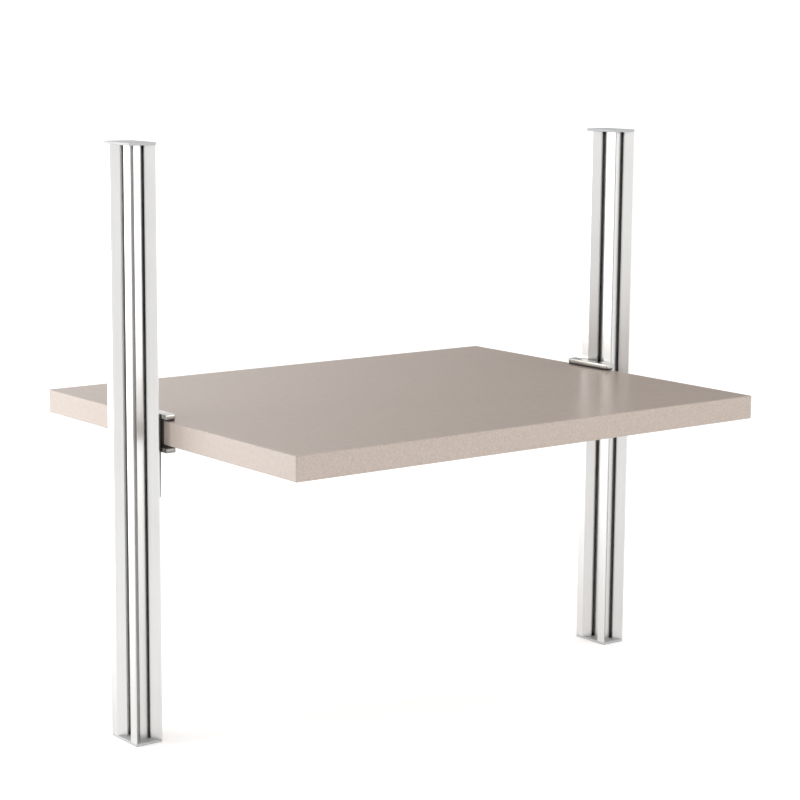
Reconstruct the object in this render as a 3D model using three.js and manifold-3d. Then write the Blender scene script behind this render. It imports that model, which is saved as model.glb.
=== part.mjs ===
// Shelving unit: a laminated board, clamped by its two short ends between two slotted aluminium uprights.
// Millimetres, +Z up. X runs along the board and Y from its front edge to its back edge.
// The origin is on the ground, below the middle of the board.
// Positive Z in a clamp is measured from the board's top face, and X there from the board's end.

import * as THREE from 'three';
import { mergeVertices } from 'three/addons/utils/BufferGeometryUtils.js';
import Module from 'manifold-3d';

const wasm = await Module();
wasm.setup();

// Board
const boardLength = 600;
const boardDepth = 470;
const boardThickness = 25;
const boardTopHeight = 333;
const laminateThickness = 0.8;
const bandThickness = 2;
const boardCornerRadius = 1.8;
const boardArris = 1;

// Uprights
const uprightLength = 604;
const uprightOffset = 20.5;
const sectionWidth = 31;
const sectionDepth = 48.5;
const lipWidth = 10.75;
const edgeLipWidth = 1.2;
const grooveDepth = 7.5;
const mouthWidth = 12.5;
const returnDepth = 1.5;
const chamberHeight = 3;
const chamberUndercut = 3;
const sectionWall = 1.8;
const sectionCornerRadius = 0.4;

// End caps
const capThickness = 3;
const capCornerRadius = 1;
const capArris = 0.6;
const pegLength = 8;
const pegClearance = 0.3;

// Gaps between pieces that slide on each other
const boardClearance = 0.3;
const slideClearance = 0.3;
const holeClearance = 0.3;

// Clamp jaws
const jawWidth = 67;
const jawDepth = 12;
const jawThickness = 4.8;
const jawCornerRadius = 2;
const jawArris = 0.6;
const legThickness = 2;
const legCornerRadius = 3;
const upperLegWidth = 44;
const upperLegReach = 22;
const lowerLegWidth = 38;
const lowerLegEnd = 9;
const jawTravel = 12;

// Clamp rubber
const padThickness = 1.8;
const padInset = 0.4;
const linerWebThickness = 1.5;
const linerWebGap = 0.5;

// Clamp back plate
const plateThickness = 1.5;
const plateMargin = 0.3;
const plateDrop = 0.5;
const plateTail = 48;
const plateTaper = 1.5;
const plateTopRadius = 1.5;
const plateTailRadius = 3;

// Countersunk screws of the upper jaw
const upperScrewRadius = 2.5;
const upperScrewLength = 14;
const upperHeadRadius = 4.6;
const upperHeadSink = 0.2;
const upperHeadRim = 0.3;
const upperSocketWidth = 3;
const upperSocketDepth = 1.6;
const upperScrewSpacing = 12;
const upperScrewDepth = 12;

// Button head screw of the lower jaw
const jawScrewRadius = 3;
const jawScrewLength = 16;
const jawHeadRadius = 5.25;
const jawHeadHeight = 3.3;
const jawSocketWidth = 4;
const jawSocketDepth = 2;
const jawScrewDepth = 58;
const washerRadius = 6;
const washerThickness = 1.6;

// Slot nuts
const nutClearance = 0.3;
const upperNutLength = 30;
const lowerNutLength = 18;
const nutCornerRadius = 0.6;

// Smoothness of curves, in straight steps
const cornerSteps = 4;
const arrisSteps = 2;
const roundSteps = 28;
const domeSteps = 5;

// Sides of the hole for a hexagon key
const socketSides = 6;

// How far a cutter runs past the face that it cuts
const overrun = 1;

// Places that follow from the sizes above
const legFront = boardClearance + linerWebThickness;
const plateFront = legFront + legThickness;
const faceGap = plateFront + plateThickness + slideClearance;
const upperJawBottom = boardClearance + padThickness;
const upperJawTop = upperJawBottom + jawThickness;
const lowerPadTop = -boardThickness - boardClearance;
const lowerJawTop = lowerPadTop - padThickness;
const lowerJawBottom = lowerJawTop - jawThickness;
const plateWidth = sectionDepth - 2 * plateMargin;
const upperHeadFace = legFront + upperHeadSink;
const upperScrewHeights = [1, -1].map((sign) => sign * upperScrewSpacing / 2 - upperScrewDepth);
const slotDepth = grooveDepth + returnDepth + chamberHeight;

const finishes = {
  anodised: { color: 0xd3d6d7, roughness: 0.34, metalness: 0.9 },
  laminate: { color: 0xb3a89d, roughness: 0.42, metalness: 0 },
  edgeBand: { color: 0xc4b9ae, roughness: 0.55, metalness: 0 },
  particleBoard: { color: 0xb08d62, roughness: 0.9, metalness: 0 },
  capPlastic: { color: 0xb9bbbc, roughness: 0.5, metalness: 0 },
  satinNickel: { color: 0xc9c7c1, roughness: 0.28, metalness: 1 },
  blackSteel: { color: 0x2c2a29, roughness: 0.5, metalness: 0.6 },
  blackRubber: { color: 0x1d1a19, roughness: 0.85, metalness: 0 },
  zincSteel: { color: 0xb4b6b8, roughness: 0.35, metalness: 1 }
};

// Outlines and extrusions

// Turns corners, each [x, y] or [x, y, radius], into the points of an outline with arcs at the radii.
function roundedOutline(corners) {
  const points = [];
  corners.forEach(([x, y, radius = 0], i) => {
    const here = new THREE.Vector2(x, y);
    if (radius === 0) {
      points.push(here);
      return;
    }
    const [beforeX, beforeY] = corners.at(i - 1);
    const [afterX, afterY] = corners[(i + 1) % corners.length];
    const toBefore = new THREE.Vector2(beforeX - x, beforeY - y).normalize();
    const toAfter = new THREE.Vector2(afterX - x, afterY - y).normalize();
    const half = Math.acos(toBefore.dot(toAfter)) / 2;
    const inward = toBefore.clone().add(toAfter).normalize();
    const centre = here.clone().addScaledVector(inward, radius / Math.sin(half));
    const start = here.clone().addScaledVector(toBefore, radius / Math.tan(half)).sub(centre);
    const end = here.clone().addScaledVector(toAfter, radius / Math.tan(half)).sub(centre);
    const sweep = Math.atan2(start.cross(end), start.dot(end));
    for (let step = 0; step <= cornerSteps; step += 1) {
      const turn = sweep * step / cornerSteps;
      points.push(start.clone().rotateAround(new THREE.Vector2(), turn).add(centre));
    }
  });
  return points;
}

// Corners of a rectangle, counter-clockwise from the low one, with a radius for its low and its high side.
function rectangle(lowX, highX, lowY, highY, lowRadius = 0, highRadius = lowRadius) {
  return [
    [lowX, lowY, lowRadius],
    [highX, lowY, lowRadius],
    [highX, highY, highRadius],
    [lowX, highY, highRadius]
  ];
}

// A straight extrusion upwards. With an arris, its top and bottom edges are rounded within its own size.
function extruded(corners, height, arris = 0, holes = []) {
  const shape = new THREE.Shape(roundedOutline(corners));
  holes.forEach((hole) => shape.holes.push(new THREE.Path(hole)));
  return new THREE.ExtrudeGeometry(shape, {
    depth: height - 2 * arris,
    bevelEnabled: arris > 0,
    bevelThickness: arris,
    bevelSize: arris,
    bevelOffset: -arris,
    bevelSegments: arrisSteps
  }).translate(0, 0, arris);
}

// An outline drawn in Y and Z, extruded along X from lowX.
function extrudedAlongX(corners, lowX, thickness, holes = []) {
  const xAxis = new THREE.Vector3(1, 0, 0);
  const yAxis = new THREE.Vector3(0, 1, 0);
  const zAxis = new THREE.Vector3(0, 0, 1);
  const turned = new THREE.Matrix4().makeBasis(yAxis, zAxis, xAxis);
  return extruded(corners, thickness, 0, holes).applyMatrix4(turned).translate(lowX, 0, 0);
}

// A box between low and high values on each axis.
function block(lowX, highX, lowY, highY, lowZ, highZ) {
  return extruded(rectangle(lowX, highX, lowY, highY), highZ - lowZ).translate(0, 0, lowZ);
}

// A solid turned about the X axis from a profile of [x, radius] that starts and ends on the axis.
function turnedAboutX(profile) {
  const points = profile.map(([x, radius]) => new THREE.Vector2(radius, x));
  return new THREE.LatheGeometry(points, roundSteps).rotateZ(-Math.PI / 2);
}

function cylinderAlongX(lowX, highX, radius) {
  return turnedAboutX([[lowX, 0], [lowX, radius], [highX, radius], [highX, 0]]);
}

// A six-sided plug for a socket, as wide across its flats as the key.
function socketPlug(lowX, highX, width) {
  const radius = width / 2 / Math.cos(Math.PI / socketSides);
  const plug = new THREE.CylinderGeometry(radius, radius, highX - lowX, socketSides);
  return plug.rotateZ(-Math.PI / 2).translate((lowX + highX) / 2, 0, 0);
}

// The outline of a long hole with round ends, from one end's middle on the second axis to the other's.
function longHole(radius, lowMiddle, highMiddle) {
  const path = new THREE.Path();
  path.absarc(0, highMiddle, radius, 0, Math.PI);
  path.absarc(0, lowMiddle, radius, Math.PI, 2 * Math.PI);
  return path.getPoints(roundSteps / 4);
}

// Joining and cutting

function toSolid(geometry) {
  const bare = geometry.clone();
  bare.deleteAttribute('normal');
  bare.deleteAttribute('uv');
  const merged = mergeVertices(bare);
  const index = merged.index.array;
  const triangles = [];
  for (let i = 0; i < index.length; i += 3) {
    const [a, b, c] = [index[i], index[i + 1], index[i + 2]];
    if (a !== b && b !== c && c !== a) {
      triangles.push(a, b, c);
    }
  }
  return new wasm.Manifold(new wasm.Mesh({
    numProp: 3,
    vertProperties: new Float32Array(merged.attributes.position.array),
    triVerts: new Uint32Array(triangles)
  }));
}

function toGeometry(solid) {
  const mesh = solid.getMesh();
  const geometry = new THREE.BufferGeometry();
  geometry.setAttribute('position', new THREE.BufferAttribute(mesh.vertProperties, 3));
  geometry.setIndex(new THREE.BufferAttribute(mesh.triVerts, 1));
  geometry.computeVertexNormals();
  return geometry;
}

function joined(...geometries) {
  return toGeometry(geometries.map(toSolid).reduce((all, next) => all.add(next)));
}

function cut(geometry, ...cutters) {
  return toGeometry(cutters.map(toSolid).reduce((rest, cutter) => rest.subtract(cutter), toSolid(geometry)));
}

function common(geometry, other) {
  return toGeometry(toSolid(geometry).intersect(toSolid(other)));
}

// Swaps left and right, and the winding with it.
function mirrored(geometry) {
  const copy = toGeometry(toSolid(geometry));
  copy.scale(-1, 1, 1);
  const index = copy.index;
  for (let i = 0; i < index.count; i += 3) {
    const second = index.getX(i + 1);
    index.setX(i + 1, index.getX(i + 2));
    index.setX(i + 2, second);
  }
  copy.computeVertexNormals();
  return copy;
}

function addPiece(group, name, geometry, finish, [x, y, z] = [0, 0, 0]) {
  const mesh = new THREE.Mesh(geometry, new THREE.MeshStandardMaterial(finish));
  mesh.name = name;
  mesh.position.set(x, y, z);
  group.add(mesh);
}

// Board, with its middle at x = 0, y = 0 and its underside at z = 0

function boardBand(lowX, highX, lowY, highY) {
  const halfLength = boardLength / 2;
  const halfDepth = boardDepth / 2;
  const outline = rectangle(-halfLength, halfLength, -halfDepth, halfDepth, boardCornerRadius);
  const envelope = extruded(outline, boardThickness, boardArris);
  return common(envelope, block(lowX, highX, lowY, highY, -overrun, boardThickness + overrun));
}

function makeBoard() {
  const board = new THREE.Group();
  const halfLength = boardLength / 2;
  const halfDepth = boardDepth / 2;
  const innerX = halfLength - bandThickness;
  const innerY = halfDepth - bandThickness;
  const coreTop = boardThickness - laminateThickness;
  const sheet = () => block(-innerX, innerX, -innerY, innerY, 0, laminateThickness);
  const core = block(-innerX, innerX, -innerY, innerY, laminateThickness, coreTop);
  const outerX = halfLength + overrun;
  const outerY = halfDepth + overrun;
  addPiece(board, 'shelf_core', core, finishes.particleBoard);
  addPiece(board, 'bottom_laminate', sheet(), finishes.laminate);
  addPiece(board, 'top_laminate', sheet(), finishes.laminate, [0, 0, coreTop]);
  addPiece(board, 'front_edge_band', boardBand(-outerX, outerX, -outerY, -innerY), finishes.edgeBand);
  addPiece(board, 'back_edge_band', boardBand(-outerX, outerX, innerY, outerY), finishes.edgeBand);
  addPiece(board, 'left_edge_band', boardBand(-outerX, -innerX, -innerY, innerY), finishes.edgeBand);
  addPiece(board, 'right_edge_band', boardBand(innerX, outerX, -innerY, innerY), finishes.edgeBand);
  return board;
}

// Uprights, with the middle of the section at x = 0, y = 0

// The corners of a quarter of the section, from the floor of the slot in +X round to that of the slot in +Y.
function quarterSection() {
  const halfWidth = sectionWidth / 2;
  const halfDepth = sectionDepth / 2;
  const halfMouth = mouthWidth / 2;
  const chamberSide = halfMouth + chamberUndercut;
  const xFloor = halfWidth - slotDepth;
  const yFloor = halfDepth - slotDepth;
  return [
    [xFloor, chamberSide],
    [xFloor + chamberHeight, chamberSide],
    [xFloor + chamberHeight, halfMouth],
    [halfWidth - grooveDepth, halfMouth, sectionCornerRadius],
    [halfWidth, halfDepth - lipWidth, sectionCornerRadius],
    [halfWidth, halfDepth, sectionCornerRadius],
    [halfWidth - edgeLipWidth, halfDepth, sectionCornerRadius],
    [halfMouth, halfDepth - grooveDepth, sectionCornerRadius],
    [halfMouth, yFloor + chamberHeight],
    [chamberSide, yFloor + chamberHeight],
    [chamberSide, yFloor]
  ];
}

// The hollow in the +X +Y corner of the section, one wall away from its faces, or further by the inset.
function cornerHollow(inset) {
  const wall = sectionWall + inset;
  const halfWidth = sectionWidth / 2;
  const halfDepth = sectionDepth / 2;
  const halfMouth = mouthWidth / 2;
  const frontSlope = grooveDepth / (halfWidth - edgeLipWidth - halfMouth);
  const sideSlope = (halfDepth - lipWidth - halfMouth) / grooveDepth;
  const frontWall = wall * Math.hypot(1, frontSlope);
  const sideWall = wall * Math.hypot(1, sideSlope);
  const near = wall;
  const far = halfWidth - halfMouth - chamberUndercut - wall;
  const frontY = (depth) => halfDepth - frontSlope * (depth - edgeLipWidth) - frontWall;
  const sideY = (depth) => halfDepth - lipWidth - sideSlope * depth + sideWall;
  return [
    [halfWidth - near, sideY(near)],
    [halfWidth - near, frontY(near)],
    [halfWidth - far, frontY(far)],
    [halfWidth - far, sideY(far)]
  ];
}

// The hollow in the middle of the section, one wall away from the floors of the four slots.
function middleHollow() {
  const halfX = sectionWidth / 2 - slotDepth - sectionWall;
  const halfY = sectionDepth / 2 - slotDepth - sectionWall;
  return rectangle(-halfX, halfX, -halfY, halfY);
}

// The same corners in all four quarters: turned ones keep their order, mirrored ones are reversed.
function inFourQuarters(corners) {
  const flip = (signX, signY) => corners.map(([x, y, radius]) => [signX * x, signY * y, radius]);
  return [flip(1, 1), flip(-1, 1).reverse(), flip(-1, -1), flip(1, -1).reverse()];
}

function makeUpright() {
  const outline = inFourQuarters(quarterSection()).flat();
  const hollows = [...inFourQuarters(cornerHollow(0)), middleHollow()].map(roundedOutline);
  return extruded(outline, uprightLength, 0, hollows);
}

// An end cap with four pegs upwards, for the bottom end. Its outer face is at z = 0.
function makeBottomCap() {
  const halfWidth = sectionWidth / 2;
  const halfDepth = sectionDepth / 2;
  const outline = rectangle(-halfWidth, halfWidth, -halfDepth, halfDepth, capCornerRadius);
  const plate = extruded(outline, capThickness, capArris);
  const pegs = inFourQuarters(cornerHollow(pegClearance)).map((corners) => {
    const root = capThickness / 2;
    return extruded(corners, pegLength + capThickness - root).translate(0, 0, root);
  });
  return joined(plate, ...pegs);
}

function addUpright(unit, name, side) {
  const group = new THREE.Group();
  group.position.set(side * (boardLength / 2 + faceGap + sectionWidth / 2), uprightOffset, 0);
  const bottomCap = makeBottomCap();
  const topCap = bottomCap.clone().rotateX(Math.PI);
  const topFace = uprightLength + 2 * capThickness;
  addPiece(group, `${name}_upright`, makeUpright(), finishes.anodised, [0, 0, capThickness]);
  addPiece(group, `${name}_bottom_cap`, bottomCap, finishes.capPlastic);
  addPiece(group, `${name}_top_cap`, topCap, finishes.capPlastic, [0, 0, topFace]);
  unit.add(group);
}

// Clamp, built for the board's right end: x = 0 at the board's end, z = 0 at its top face

// The plan of a jaw, or of a pad that is smaller all round by the inset, from its free edge to backX.
function jawPlan(backX, inset) {
  const frontX = plateFront - jawDepth + inset;
  const halfWidth = jawWidth / 2 - inset;
  const radius = jawCornerRadius;
  return [
    [frontX, -halfWidth, radius],
    [backX, -halfWidth],
    [backX, halfWidth],
    [frontX, halfWidth, radius]
  ];
}

// The outline of a screw from the outer face of its head to its tip, grown on all sides for a hole.
function countersunkProfile(grow) {
  const coneDepth = upperHeadRadius - upperScrewRadius;
  return [
    [-grow, 0],
    [-grow, upperHeadRadius + grow],
    [upperHeadRim, upperHeadRadius + grow],
    [upperHeadRim + coneDepth, upperScrewRadius + grow],
    [upperScrewLength + grow, upperScrewRadius + grow],
    [upperScrewLength + grow, 0]
  ];
}

// Cutters for the two countersunk screws, in the clamp's own places.
function upperScrewCutters() {
  return upperScrewHeights.map((z) => {
    return turnedAboutX(countersunkProfile(holeClearance)).translate(upperHeadFace, 0, z);
  });
}

function makeUpperScrew() {
  const blank = turnedAboutX(countersunkProfile(0));
  return cut(blank, socketPlug(-overrun, upperSocketDepth, upperSocketWidth));
}

function makeUpperJaw() {
  const jaw = extruded(jawPlan(plateFront, 0), jawThickness, jawArris).translate(0, 0, upperJawBottom);
  const halfWidth = upperLegWidth / 2;
  const legTop = upperJawBottom + jawThickness / 2;
  const legOutline = rectangle(-halfWidth, halfWidth, -upperLegReach, legTop, legCornerRadius, 0);
  const leg = extrudedAlongX(legOutline, legFront, legThickness);
  return cut(joined(jaw, leg), ...upperScrewCutters());
}

// The L-shaped rubber under the upper jaw and in front of its leg.
function makeUpperLiner() {
  const pad = extruded(jawPlan(legFront, padInset), padThickness).translate(0, 0, boardClearance);
  const halfWidth = plateWidth / 2;
  const webBottom = linerWebGap - boardThickness;
  const webTop = boardClearance + padThickness / 2;
  const webOutline = rectangle(-halfWidth, halfWidth, webBottom, webTop);
  return joined(pad, extrudedAlongX(webOutline, boardClearance, linerWebThickness));
}

function makeLowerPad() {
  return extruded(jawPlan(legFront, padInset), padThickness).translate(0, 0, lowerPadTop - padThickness);
}

// The lower jaw hangs its slotted leg on the plate's tail. The screw stands at the slot's lower end at rest.
function makeLowerJaw() {
  const backX = plateFront - slideClearance;
  const jaw = extruded(jawPlan(backX, 0), jawThickness, jawArris).translate(0, 0, lowerJawBottom);
  const halfWidth = lowerLegWidth / 2;
  const legTop = lowerJawBottom + jawThickness / 2;
  const legBottom = -jawScrewDepth - lowerLegEnd;
  const legOutline = rectangle(-halfWidth, halfWidth, legBottom, legTop, legCornerRadius, 0);
  const slot = longHole(jawScrewRadius + holeClearance, -jawScrewDepth, -jawScrewDepth + jawTravel);
  const leg = extrudedAlongX(legOutline, legFront, backX - legFront, [slot]);
  return joined(jaw, leg);
}

// The plate behind both jaws. Its tail narrows from the lower jaw down.
function makeBackPlate() {
  const halfWidth = plateWidth / 2;
  const halfTail = halfWidth - plateTaper;
  const top = upperJawTop - plateDrop;
  const bottom = lowerJawBottom - plateTail;
  const outline = [
    [-halfTail, bottom, plateTailRadius],
    [halfTail, bottom, plateTailRadius],
    [halfWidth, lowerJawBottom],
    [halfWidth, top, plateTopRadius],
    [-halfWidth, top, plateTopRadius],
    [-halfWidth, lowerJawBottom]
  ];
  const plate = extrudedAlongX(outline, plateFront, plateThickness);
  const back = plateFront + plateThickness;
  const hole = cylinderAlongX(plateFront - overrun, back + overrun, jawScrewRadius + holeClearance);
  return cut(plate, hole.translate(0, 0, -jawScrewDepth), ...upperScrewCutters());
}

// A slot nut: a flange in the chamber and a neck in the mouth of the slot, with a hole at each height.
function makeSlotNut(length, middleZ, screwRadius, screwHeights) {
  const neckFront = faceGap + grooveDepth;
  const flangeFront = neckFront + returnDepth + nutClearance;
  const flangeBack = faceGap + slotDepth - nutClearance;
  const halfNeck = mouthWidth / 2 - nutClearance;
  const halfFlange = mouthWidth / 2 + chamberUndercut - nutClearance;
  const low = middleZ - length / 2;
  const high = middleZ + length / 2;
  const neckOutline = rectangle(-halfNeck, halfNeck, low, high, nutCornerRadius);
  const flangeOutline = rectangle(-halfFlange, halfFlange, low, high, nutCornerRadius);
  const nut = joined(
    extrudedAlongX(neckOutline, neckFront, flangeFront + chamberHeight / 2 - neckFront),
    extrudedAlongX(flangeOutline, flangeFront, flangeBack - flangeFront)
  );
  const radius = screwRadius + holeClearance;
  const holes = screwHeights.map((z) => {
    return cylinderAlongX(neckFront - overrun, flangeBack + overrun, radius).translate(0, 0, z);
  });
  return cut(nut, ...holes);
}

// The button head is part of a sphere with a flat on top. Its under side is at x = 0.
function makeJawScrew() {
  const flatRadius = jawHeadRadius / 2;
  const dome = [];
  for (let step = 0; step <= domeSteps; step += 1) {
    const turn = Math.PI / 2 * step / domeSteps;
    const rise = jawHeadHeight * Math.cos(turn);
    dome.push([-rise, flatRadius + (jawHeadRadius - flatRadius) * Math.sin(turn)]);
  }
  const profile = [
    [-jawHeadHeight, 0],
    ...dome,
    [0, jawScrewRadius],
    [jawScrewLength, jawScrewRadius],
    [jawScrewLength, 0]
  ];
  const socketFloor = jawSocketDepth - jawHeadHeight;
  return cut(turnedAboutX(profile), socketPlug(-jawHeadHeight - overrun, socketFloor, jawSocketWidth));
}

function makeWasher() {
  const ring = cylinderAlongX(-washerThickness, 0, washerRadius);
  return cut(ring, cylinderAlongX(-washerThickness - overrun, overrun, jawScrewRadius + holeClearance));
}

function addClamp(unit, name, side) {
  const clamp = new THREE.Group();
  clamp.position.set(side * boardLength / 2, uprightOffset, boardTopHeight);
  const washerBack = legFront - slideClearance;
  const headUnder = washerBack - washerThickness;
  const add = (piece, geometry, finish, x = 0, z = 0) => {
    const shape = side > 0 ? geometry : mirrored(geometry);
    addPiece(clamp, `${name}_${piece}`, shape, finish, [side * x, 0, z]);
  };
  const upperNut = makeSlotNut(upperNutLength, -upperScrewDepth, upperScrewRadius, upperScrewHeights);
  const lowerNut = makeSlotNut(lowerNutLength, -jawScrewDepth, jawScrewRadius, [-jawScrewDepth]);
  add('back_plate', makeBackPlate(), finishes.blackSteel);
  add('upper_jaw', makeUpperJaw(), finishes.satinNickel);
  add('upper_liner', makeUpperLiner(), finishes.blackRubber);
  add('upper_screw_1', makeUpperScrew(), finishes.zincSteel, upperHeadFace, upperScrewHeights[0]);
  add('upper_screw_2', makeUpperScrew(), finishes.zincSteel, upperHeadFace, upperScrewHeights[1]);
  add('upper_slot_nut', upperNut, finishes.zincSteel);
  add('lower_jaw', makeLowerJaw(), finishes.satinNickel);
  add('lower_pad', makeLowerPad(), finishes.blackRubber);
  add('jaw_washer', makeWasher(), finishes.zincSteel, washerBack, -jawScrewDepth);
  add('jaw_screw', makeJawScrew(), finishes.zincSteel, headUnder, -jawScrewDepth);
  add('lower_slot_nut', lowerNut, finishes.zincSteel);
  unit.add(clamp);
}

// The whole unit

const unit = new THREE.Group();
const board = makeBoard();
board.position.set(0, 0, boardTopHeight - boardThickness);
unit.add(board);
for (const [name, side] of [['left', -1], ['right', 1]]) {
  addUpright(unit, name, side);
  addClamp(unit, name, side);
}

export default unit;
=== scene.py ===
# %% [markdown]
# # A shelf board clamped between two slotted uprights
#
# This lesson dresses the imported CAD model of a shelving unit: a laminated board whose two short ends sit
# in rubber-lined metal jaws, and two slotted aluminium uprights that carry them. The CAD model gives
# every size and place. What is added here is what a camera sees: finishes, softer edges on the small
# metal parts, light and a camera.

# %% Load the frame
import math

import bmesh
import bpy
from mathutils import Matrix, Vector


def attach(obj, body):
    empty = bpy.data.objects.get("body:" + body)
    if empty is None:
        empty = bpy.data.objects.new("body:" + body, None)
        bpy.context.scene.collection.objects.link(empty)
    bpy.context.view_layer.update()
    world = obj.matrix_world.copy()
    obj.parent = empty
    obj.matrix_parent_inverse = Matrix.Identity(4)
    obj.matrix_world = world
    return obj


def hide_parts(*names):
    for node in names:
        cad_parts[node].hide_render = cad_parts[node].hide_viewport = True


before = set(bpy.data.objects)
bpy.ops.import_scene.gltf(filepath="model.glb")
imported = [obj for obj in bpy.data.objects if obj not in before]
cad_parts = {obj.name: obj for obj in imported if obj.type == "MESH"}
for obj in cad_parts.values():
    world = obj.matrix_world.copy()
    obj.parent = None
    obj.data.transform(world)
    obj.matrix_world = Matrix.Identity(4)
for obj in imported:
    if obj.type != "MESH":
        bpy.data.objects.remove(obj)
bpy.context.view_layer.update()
MM = 0.001

# %% [markdown]
# ## Places from the CAD model
#
# The camera and the small parts need to know where the board ends and where an upright stands. Such
# places could be typed, but then they would stay behind if the CAD model changed. So they are read from
# the CAD pieces' boxes, in millimetres, and rounded so that the last bits of a stored number don't
# matter.

# %% Boxes of the board and an upright
BOARD_PIECES = ("top_laminate", "front_edge_band", "back_edge_band", "left_edge_band", "right_edge_band")


def box_of(*names):
    """The lowest and the highest place of some CAD pieces in millimetres."""
    places = [corner.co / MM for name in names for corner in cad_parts[name].data.vertices]
    low = [round(min(place[axis] for place in places), 3) for axis in range(3)]
    high = [round(max(place[axis] for place in places), 3) for axis in range(3)]
    return low, high


board_low, board_high = box_of(*BOARD_PIECES)
upright_low, upright_high = box_of("right_upright")
print("board in mm:", board_low, board_high)
print("right upright in mm:", upright_low, upright_high)

# %% [markdown]
# ## The camera
#
# The picture shows the unit from its front left, slightly from above, with a long lens. A camera could be
# placed by eye, but the board and the uprights are plain straight shapes, so their corners and edges fix
# the view well. Turn, dip and roll below come from such a fit. The corner shift says where the board's
# near top corner lies from the camera: to its right, upwards and ahead. The focal length is given in
# pixels of a picture 800 pixels wide.

# %% Camera
PICTURE_PX = 800
FOCAL_PX = 2186.19
SENSOR_MM = 36.0
CENTRE_DROP_PX = 8.0
CLIP_END = 100.0
VIEW_TURN = math.radians(37.56384)
VIEW_DIP = math.radians(9.22154)
VIEW_ROLL = math.radians(0.43623)
NEAR_CORNER_MM = Vector((board_low[0], board_low[1], board_high[2]))
CORNER_SHIFT_MM = Vector((-94.998, -58.911, 2004.528))


def view_axes(turn, dip, roll):
    """The camera's right, up and forward directions."""
    forward = Vector((math.sin(turn) * math.cos(dip), math.cos(turn) * math.cos(dip), -math.sin(dip)))
    level = Vector((math.cos(turn), -math.sin(turn), 0.0))
    upright = level.cross(forward)
    right = math.cos(roll) * level + math.sin(roll) * upright
    up = math.cos(roll) * upright - math.sin(roll) * level
    return right, up, forward


right, up, forward = view_axes(VIEW_TURN, VIEW_DIP, VIEW_ROLL)
shift = right * CORNER_SHIFT_MM.x + up * CORNER_SHIFT_MM.y + forward * CORNER_SHIFT_MM.z
camera_place = (NEAR_CORNER_MM - shift) * MM

camera = bpy.data.objects.new("camera", bpy.data.cameras.new("camera"))
bpy.context.scene.collection.objects.link(camera)
camera.data.sensor_width = SENSOR_MM
camera.data.lens = FOCAL_PX * SENSOR_MM / PICTURE_PX
camera.data.shift_y = -CENTRE_DROP_PX / PICTURE_PX
camera.data.clip_end = CLIP_END
turned = Matrix((right, up, -forward)).transposed()
camera.matrix_world = Matrix.Translation(camera_place) @ turned.to_4x4()
bpy.context.scene.camera = camera
print("camera at", [round(v, 4) for v in camera_place], "lens", round(camera.data.lens, 2), "mm")

# %% [markdown]
# ## The studio
#
# Polished and anodised metal shows its surroundings, so the light comes first. A white tent would light
# everything evenly and leave the slots flat. Here the sky is brightest just over the horizon, a little
# dimmer overhead and at the far left, and grey behind on the right, which shades the board's top from
# left to right. Seen directly it's plain white. The floor gets a little glow of its own, for the camera
# and for what the metal mirrors, so that it stays pale without more light on the unit.

# %% Floor
FLOOR_RADIUS = 30.0
FLOOR_SIDES = 96
FLOOR_TONE, FLOOR_ROUGHNESS, FLOOR_SHEEN = 0.93, 0.9, 0.1
FLOOR_GLOW = 0.36
MIRRORED_GLOW_SHARE = 0.7


def grey(level):
    return (level, level, level)


def make_floor():
    bpy.ops.mesh.primitive_circle_add(vertices=FLOOR_SIDES, radius=FLOOR_RADIUS, fill_type="NGON")
    floor = bpy.context.active_object
    floor.name = "studio_floor"
    material = bpy.data.materials.new("pale_floor")
    material.use_nodes = True
    shader = material.node_tree.nodes["Principled BSDF"]
    shader.inputs["Base Color"].default_value = (*grey(FLOOR_TONE), 1.0)
    shader.inputs["Roughness"].default_value = FLOOR_ROUGHNESS
    shader.inputs["Specular IOR Level"].default_value = FLOOR_SHEEN
    shader.inputs["Emission Color"].default_value = (*grey(FLOOR_GLOW), 1.0)
    rays = material.node_tree.nodes.new("ShaderNodeLightPath")
    seen = material.node_tree.nodes.new("ShaderNodeMath")
    seen.operation = "MULTIPLY_ADD"
    seen.inputs[1].default_value = MIRRORED_GLOW_SHARE
    material.node_tree.links.new(rays.outputs["Is Glossy Ray"], seen.inputs[0])
    material.node_tree.links.new(rays.outputs["Is Camera Ray"], seen.inputs[2])
    material.node_tree.links.new(seen.outputs["Value"], shader.inputs["Emission Strength"])
    floor.data.materials.append(material)
    return floor


bpy.ops.object.select_all(action="DESELECT")
print("floor made:", make_floor().name)

# %% Sky
SKY_STRENGTH = 1.25
SKY_COLOR = (1.0, 0.998, 0.994, 1.0)
UPWARDS, BACK_RIGHT, FAR_LEFT = (0.0, 0.0, 1.0), (0.866, 0.5, 0.05), (-1.0, 0.0, 0.2)
SKY_PARTS = (
    (UPWARDS, (0.3, 0.95), (SKY_STRENGTH, 0.6 * SKY_STRENGTH)),
    (BACK_RIGHT, (0.84, 0.965), (1.0, 0.24)),
    (FAR_LEFT, (0.3, 0.95), (1.0, 0.7)),
    (UPWARDS, (0.09, 0.17), (1.6, 0.95)),
)


def range_to(tree, value, old_range, new_range, course="LINEAR"):
    """A value that runs over the new range while the given one runs over the old range."""
    span = tree.nodes.new("ShaderNodeMapRange")
    span.interpolation_type = course
    span.inputs["From Min"].default_value, span.inputs["From Max"].default_value = old_range
    span.inputs["To Min"].default_value, span.inputs["To Max"].default_value = new_range
    tree.links.new(value, span.inputs["Value"])
    return span.outputs["Result"]


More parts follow.
